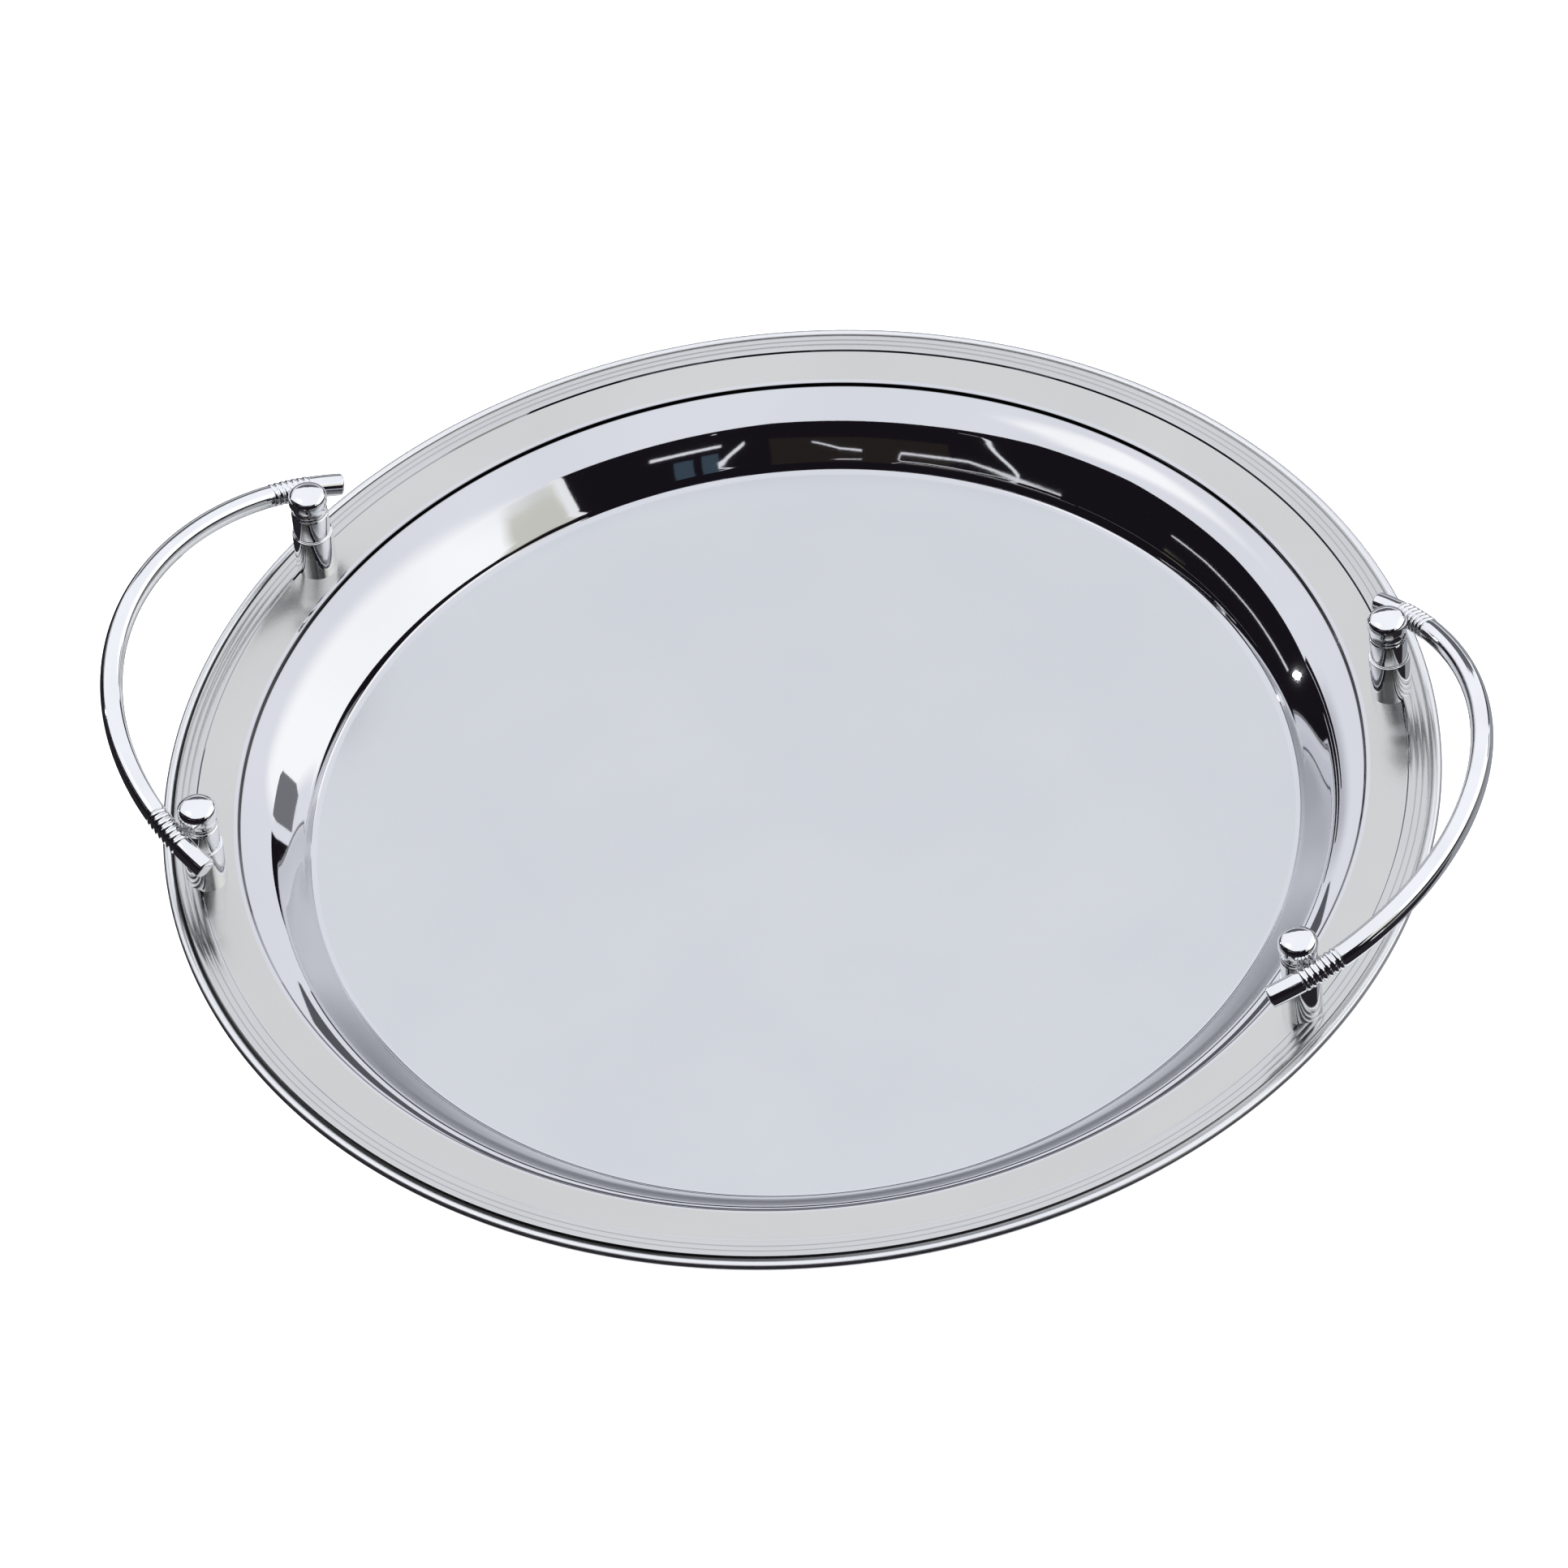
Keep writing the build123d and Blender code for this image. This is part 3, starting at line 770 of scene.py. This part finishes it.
tray_shell.data.materials.append(tray_material)
for piece in list(bpy.data.objects):
    if piece.type != "MESH" or piece is tray_shell:
        continue
    piece.data.materials.clear()
    if piece.name.startswith(("rim_washer", "hex_nut", "post_stud", "handle_dowel")):
        piece.data.materials.append(hidden_material)
    elif piece.name.startswith(("sleeve_", "collar_", "cap_")):
        piece.data.materials.append(post_material)
    else:
        piece.data.materials.append(handle_material)


# ---------------------------------------------------------------- studio
FLOOR_HALF = 30.0
FLOOR_HEIGHT = -0.0002     # just under the tray
FLOOR_GLOW = 0.85          # keeps the ground white under the tray
CARD_RADIUS = 6.0
CARD_STEP = 3.0            # longest side of a card's faces, degrees
LEAST_FADE = 0.001


def floor_white():
    """Plain pale ground with some light of its own."""
    material, tree, shader = node_graph("floor_white")
    shader.inputs["Base Color"].default_value = (0.95, 0.95, 0.95, 1)
    shader.inputs["Roughness"].default_value = 0.9
    shader.inputs["Specular IOR Level"].default_value = 0.0
    shader.inputs["Emission Color"].default_value = WHITE
    shader.inputs["Emission Strength"].default_value = FLOOR_GLOW
    return material


def stage_piece(name, verts, faces, material, card):
    """Part of the set. A card shows only in reflections, and the floor everywhere but there."""
    mesh = bpy.data.meshes.new(name)
    mesh.from_pydata(verts, [], faces)
    mesh.materials.append(material)
    piece = bpy.data.objects.new(name, mesh)
    bpy.context.scene.collection.objects.link(piece)
    piece.visible_camera = not card
    piece.visible_glossy = card
    piece.visible_diffuse = not card
    piece.visible_shadow = not card
    piece.visible_transmission = False
    return piece


corners = [(x * FLOOR_HALF, y * FLOOR_HALF, FLOOR_HEIGHT) for x, y in ((-1, -1), (1, -1), (1, 1), (-1, 1))]
stage_piece("floor", corners, [(0, 1, 2, 3)], floor_white(), card=False)


def ease(value):
    """Smooth step from 0 to 1."""
    value = min(1.0, max(0.0, value))
    return value * value * (3 - 2 * value)


def filled(edges):
    """The edges with more put in between them, so that a card follows its dome."""
    turns = []
    for start, stop in zip(edges, edges[1:]):
        steps = max(1, int((stop[0] - start[0]) / CARD_STEP))
        turns += [tuple(a + (b - a) * i / steps for a, b in zip(start, stop)) for i in range(steps)]
    return turns + [edges[-1]]


def melt(card, tree, glow, shares):
    """Make a card see-through where its share is under 1."""
    layer = card.data.attributes.new("share", "FLOAT", "POINT")
    layer.data.foreach_set("value", shares)
    clear = tree.nodes.new("ShaderNodeBsdfTransparent")
    share = add_node(tree, "ShaderNodeAttribute", attribute_name="share")
    blend = tree.nodes.new("ShaderNodeMixShader")
    tree.links.new(share.outputs["Fac"], blend.inputs[0])
    tree.links.new(clear.outputs[0], blend.inputs[1])
    tree.links.new(glow.outputs[0], blend.inputs[2])
    tree.links.new(blend.outputs[0], tree.nodes["Material Output"].inputs["Surface"])


def dome_card(name, edges, colour, strength=1.0, radius=CARD_RADIUS, rows=8, fade=None):
    """Part of a large dome round the tray, seen only in reflections.

    edges is [(turn, low, high)] in degrees. fade is the share of the card over which its
    sides, its foot and its top melt away.
    """
    turns = filled(edges)
    verts = []
    shares = []
    for turn, low, high in turns:
        across = (turn - turns[0][0]) / (turns[-1][0] - turns[0][0])
        for i in range(rows + 1):
            height = radians(low + (high - low) * i / rows)
            out = radius * cos(height)
            verts.append((out * cos(radians(turn)), out * sin(radians(turn)), radius * sin(height)))
            if fade:
                side, foot, top = (max(part, LEAST_FADE) for part in fade)
                shares.append(ease(min(across, 1 - across) / side) * ease(i / rows / foot)
                              * ease((1 - i / rows) / top))
    column = rows + 1
    faces = [(j * column + i, j * column + i + 1, (j + 1) * column + i + 1, (j + 1) * column + i)
             for j in range(len(turns) - 1) for i in range(rows)]
    material, tree, shader = node_graph(name)
    tree.nodes.remove(shader)
    glow = add_node(tree, "ShaderNodeEmission", in_0=colour, in_1=strength)
    tree.links.new(glow.outputs[0], tree.nodes["Material Output"].inputs["Surface"])
    card = stage_piece(name, verts, faces, material, card=True)
    if fade:
        melt(card, tree, glow, shares)


BLACK = (0.010, 0.008, 0.012, 1)
TABLE_BLACK = (0.020, 0.018, 0.022, 1)
TABLE_GREY = (0.30, 0.31, 0.34, 1)
BACKDROP_GREY = (0.12, 0.125, 0.14, 1)
SIDE_GREY = (0.22, 0.225, 0.235, 1)
FLAG_GREY = (0.22, 0.225, 0.24, 1)
WALL_GREY = (0.62, 0.63, 0.68, 1)
PALE_OLIVE = (0.76, 0.76, 0.68, 1)
BRIGHT = (0.95, 0.96, 1.0, 1)
DULL = (0.30, 0.29, 0.29, 1)
BLUE_GREY = (0.05, 0.075, 0.10, 1)
BROWN = (0.022, 0.018, 0.017, 1)
OLIVE = (0.12, 0.13, 0.09, 1)

# the dark half of the studio, behind the camera, and the tables and backdrop round the tray
dome_card("dark_studio", [(154, 0, 5), (163, 0, 10), (172, 0, 18), (185, 0, 29.5), (205, 0, 42),
                          (225, 0, 47), (250, 0, 48), (268, 0, 50), (285, 0, 51.5), (305, 0, 49.5),
                          (322, 0, 47.5), (335, 0, 46)], BLACK)
dome_card("dark_table", [(130, -60, 0), (190, -60, 0), (270, -60, 0), (360, -60, 0), (375, -60, 0)],
          TABLE_BLACK, rows=12)
dome_card("grey_table", [(15, -60, 0), (75, -60, 0), (130, -60, 0)], TABLE_GREY, rows=12)
dome_card("grey_backdrop", [(80, 10, 12), (90, 10, 26), (108, 10, 32), (124, 10, 26), (134, 10, 12)],
          BACKDROP_GREY)
dome_card("horizon_line", [(80, -0.5, 3), (108, -0.5, 3.4), (135, -0.5, 2)], BLACK, radius=5.9, rows=2)

# the left side: a soft white screen, a dark gap under it, then grey and dark flags
dome_card("white_screen", [(338, 26, 44), (348, 17, 50), (360, 14, 54), (372, 13, 56), (385, 11, 54),
                           (400, 8, 48), (410, 7, 42), (418, 8, 34)],
          WHITE, 1.30, rows=16, fade=(0.06, 0.03, 0.55))
dome_card("dark_gap", [(334, 6, 30), (341, 9, 26), (348, 9, 22), (360, 6, 20), (372, 5, 18),
                       (382, 4, 16.5), (390, 3, 14.5), (400, 2, 8.5), (407, 1, 4)], BLACK, radius=5.9)
dome_card("grey_side", [(340, -4, 9), (360, -6, 6), (380, -8, 5), (390, -8, 7), (400, -10, 4.5),
                        (412, -12, 0)], SIDE_GREY, radius=5.8)
dome_card("grey_flag", [(408.5, 9, 13), (410, 7, 14.5), (416.5, 3.5, 12)], FLAG_GREY, radius=5.7)
dome_card("dark_flag", [(419, 0, 11), (425, -4, 7.5), (431, -6, 3), (437, -8, -2)], BLACK, radius=5.7)
dome_card("window_edge", [(326.6, 28, 29.5), (333.6, 28, 46), (336, 28, 46)], WHITE, 1.1, radius=5.9)
dome_card("olive_panel", [(328, 26.5, 27.5), (335, 25, 45), (347, 20, 41)], PALE_OLIVE, radius=5.85,
          fade=(0.0, 0.0, 0.3))

# the right side: a dull wall with dark rails
dome_card("dull_wall", [(132, 0, 20), (150, 0, 24), (163, 0, 26)], WALL_GREY, radius=6.1,
          fade=(0.3, 0.0, 0.5))
for number, edges in enumerate((
        [(132, 0.0, 1.0), (150, 0.0, 2.2), (163, 0, 3)],
        [(135, 2.6, 3.9), (150, 3.0, 5.6), (164, 3.4, 7.4)],
        [(139, 5.8, 7.2), (152, 6.4, 9.4), (165, 8.0, 12.0)],
        [(145, 9.8, 11.0), (156, 10.6, 13.2), (166, 12.6, 16.0)])):
    dome_card(f"dark_rail_{number}", edges, BLACK, radius=5.9, rows=2)

# a brighter part of the ceiling, to the left of the camera
dome_card("bright_ceiling", [(166, 34, 60), (180, 42, 70), (196, 46, 72), (212, 48, 70), (222, 50, 66)],
          WHITE, 1.30, rows=16, fade=(0.3, 0.3, 0.35))

# fittings in the dark part of the studio: lamps, stands and a far window, each just inside the last
FITTING_RADIUS = 5.8
FITTING_SPACING = 0.005
for number, (edges, colour) in enumerate((
        ([(247.5, 33.0, 40.9), (265, 35.6, 43.2), (286.3, 37.0, 44.8)], BROWN),
        ([(303.4, 38.2, 41.8), (307.7, 38.0, 41.6)], BLUE_GREY),
        ([(297.7, 38.5, 42.5), (301.5, 38.3, 42.3)], BLUE_GREY),
        ([(297, 44.0, 44.6), (313, 42.8, 43.5)], BRIGHT),
        ([(291.8, 44.0, 44.8), (293, 42.8, 43.9), (296.6, 40.0, 40.9), (298, 39.6, 40.3)], BRIGHT),
        ([(297.8, 46.7, 47.3), (298.8, 46.7, 47.3)], BRIGHT),
        ([(266.4, 39.7, 40.1), (271.2, 40.5, 40.9), (276.9, 42.7, 43.1)], BRIGHT),
        ([(223.8, 30.7, 31.1), (233.3, 33.4, 33.8), (243.7, 36.6, 37.0), (257.9, 38.7, 39.1),
          (260.3, 35.4, 35.8)], BRIGHT),
        ([(221, 28.2, 28.6), (233.3, 31.5, 31.9), (243.7, 34.6, 35.0), (257, 36.8, 37.2)], DULL),
        ([(232.8, 33.3, 34.3), (239.9, 41.6, 42.7)], BRIGHT),
        ([(240.4, 42.6, 43.0), (244.6, 43.4, 43.8)], DULL),
        ([(176, 9.8, 10.1), (192, 18.1, 18.4), (205, 23.5, 23.8), (220, 29.0, 29.3)], DULL),
        ([(196, 19.2, 21.0), (201, 21.6, 23.2)], OLIVE),
        ([(168, 8.6, 9.0), (180, 15.6, 15.9), (192, 22.0, 22.3), (200, 25.6, 25.9)], BRIGHT))):
    dome_card(f"studio_fitting_{number}", edges, colour, radius=FITTING_RADIUS - FITTING_SPACING * number,
              rows=2)
dome_card("glint", [(165.4, 8.6, 9.6), (166.6, 8.6, 9.6)], WHITE, 60.0, radius=5.7, rows=2)

world = bpy.data.worlds.new("studio")
world.use_nodes = True
bpy.context.scene.world = world
background = world.node_tree.nodes["Background"]
background.inputs["Color"].default_value = (0.93, 0.95, 1.0, 1)
background.inputs["Strength"].default_value = 1.04

OVERHEAD_PLACE = (0.2, 0.6, 3.0)
overhead_data = bpy.data.lights.new("overhead", "AREA")
overhead_data.shape = "SQUARE"
overhead_data.size = 3.0
overhead_data.energy = 60.0
overhead = bpy.data.objects.new("overhead", overhead_data)
bpy.context.scene.collection.objects.link(overhead)
overhead.location = OVERHEAD_PLACE
overhead.rotation_euler = (-Vector(OVERHEAD_PLACE)).to_track_quat("-Z", "Y").to_euler()
overhead.visible_glossy = False
overhead.visible_camera = False


# ---------------------------------------------------------------- camera
CAMERA_HEIGHT_ANGLE = 46.63
CAMERA_SIDE_ANGLE = 17.87
CAMERA_ROLL = -6.43
CAMERA_DISTANCE = 4.2
LENS = 309.2
SENSOR = 36.0
AIM_RIGHT = -0.00513
AIM_UP = -0.00044
AIM_HEIGHT = 0.0209

height_angle = radians(CAMERA_HEIGHT_ANGLE)
side_angle = radians(CAMERA_SIDE_ANGLE)
roll = radians(CAMERA_ROLL)
back = Vector((sin(side_angle) * cos(height_angle), -cos(side_angle) * cos(height_angle), sin(height_angle)))
right = Vector((cos(side_angle), sin(side_angle), 0))
up = back.cross(right)
camera_x = right * cos(roll) + up * sin(roll)
camera_y = up * cos(roll) - right * sin(roll)
aim = camera_x * AIM_RIGHT + camera_y * AIM_UP + Vector((0, 0, AIM_HEIGHT))
camera_data = bpy.data.cameras.new("camera")
camera_data.lens = LENS
camera_data.sensor_width = SENSOR
camera_data.clip_end = 100.0
camera = bpy.data.objects.new("camera", camera_data)
bpy.context.scene.collection.objects.link(camera)
turn = Matrix((camera_x, camera_y, back)).transposed().to_4x4()
camera.matrix_world = Matrix.Translation(aim + back * CAMERA_DISTANCE) @ turn
bpy.context.scene.camera = camera
bpy.context.scene.view_settings.view_transform = "Standard"
